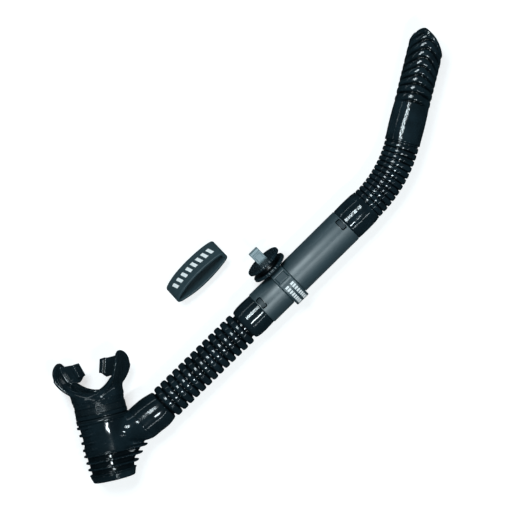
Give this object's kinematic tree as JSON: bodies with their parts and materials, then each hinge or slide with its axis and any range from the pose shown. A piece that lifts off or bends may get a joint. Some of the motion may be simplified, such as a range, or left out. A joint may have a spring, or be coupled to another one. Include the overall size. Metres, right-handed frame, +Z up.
{
  "type": "snorkel tube",
  "caption": "Scuba snorkel lying flat: mouthpiece and finned purge chamber, corrugated lower tube, grey barrel with swivelling mask clip, flexible slanted tip, and a loose strap keeper.",
  "frame": {"origin": "on the barrel's axis at the middle of the groove that the mask clip's ring turns in", "axes": "+X along the barrel towards the open tip, +Y towards the mouthpiece's side in the plane that the snorkel lies in, +Z up from the surface that it lies on"},
  "size_m": [0.4136, 0.1008, 0.0443],
  "materials": {
    "silicone_black": "glossy moulded silicone",
    "silicone_clear_grey": "satin silicone",
    "slate_plastic": "fine satin",
    "slate_ring": "fine satin",
    "pale_plastic": "satin",
    "spool_rubber": "satin",
    "nylon_black": "semi-gloss",
    "band_silicone": "matte silicone"
  },
  "bodies": {
    "barrel": {"barrel": "slate_plastic", "lower_coupling": "nylon_black", "upper_coupling": "nylon_black", "lower_flex_tube": "silicone_black", "upper_flex_tube": "silicone_black"},
    "chamber": {"chamber_body": "silicone_black", "neck_spigot": "nylon_black", "purge_seat": "nylon_black", "purge_cover": "silicone_black", "arm_cuff": "silicone_black", "arm_spigot": "nylon_black"},
    "mouthpiece": {"mouthpiece": "silicone_black", "mouthpiece_clamp": "nylon_black"},
    "purge_flap": {"purge_flap": "silicone_clear_grey"},
    "clip_ring": {"clip_ring": "slate_ring"},
    "clip_spool": {"clip_spool": "spool_rubber", "spool_stud": "pale_plastic"},
    "tip": {"top_tube": "silicone_black", "top_ferrule": "nylon_black"},
    "lower_lock_tab": {"lower_lock_tab": "nylon_black"},
    "upper_lock_tab": {"upper_lock_tab": "nylon_black"},
    "strap_band": {"strap_band": "band_silicone"}
  },
  "joints": [
    {"name": "lower_flex_bend", "type": "hinge", "parent": "barrel", "child": "chamber", "pos_m": [-0.08766, 0, 0], "axis": [0, 0, 1], "range_deg": [-40, 25], "stiffness_Nm_per_rad": 0.4, "deforming": ["lower_flex_tube"]},
    {"name": "upper_flex_bend", "type": "hinge", "parent": "barrel", "child": "tip", "pos_m": [0.11065, 0.00367, 0], "axis": [0, 0, 1], "range_deg": [-25, 25], "stiffness_Nm_per_rad": 0.4, "deforming": ["upper_flex_tube"]},
    {"name": "mouthpiece_swivel", "type": "hinge", "parent": "chamber", "child": "mouthpiece", "pos_m": [-0.16516, 0.03272, 0], "axis": [0.521, 0.8536, 0], "range_deg": [-30, 30]},
    {"name": "purge_flap_lift", "type": "slide", "parent": "chamber", "child": "purge_flap", "axis": [-0.521, -0.8536, 0], "range_m": [0, 0.0015], "stiffness_N_per_m": 40},
    {"name": "clip_ring_turn", "type": "hinge", "parent": "barrel", "child": "clip_ring", "pos_m": [0, 0, 0], "axis": [1, 0, 0], "continuous": true},
    {"name": "spool_swivel", "type": "hinge", "parent": "clip_ring", "child": "clip_spool", "pos_m": [-0.0015, 0, 0], "axis": [0, 0.9659, 0.2588], "continuous": true},
    {"name": "lower_lock_press", "type": "slide", "parent": "barrel", "child": "lower_lock_tab", "axis": [0, -0.2504, -0.9681], "range_m": [0, 0.0012], "stiffness_N_per_m": 500},
    {"name": "upper_lock_press", "type": "slide", "parent": "barrel", "child": "upper_lock_tab", "axis": [0, -0.2504, -0.9681], "range_m": [0, 0.0012], "stiffness_N_per_m": 500},
    {"name": "strap_band_away", "type": "slide", "parent": "barrel", "child": "strap_band", "axis": [0, 1, 0], "range_m": [0, 0.06]}
  ]
}
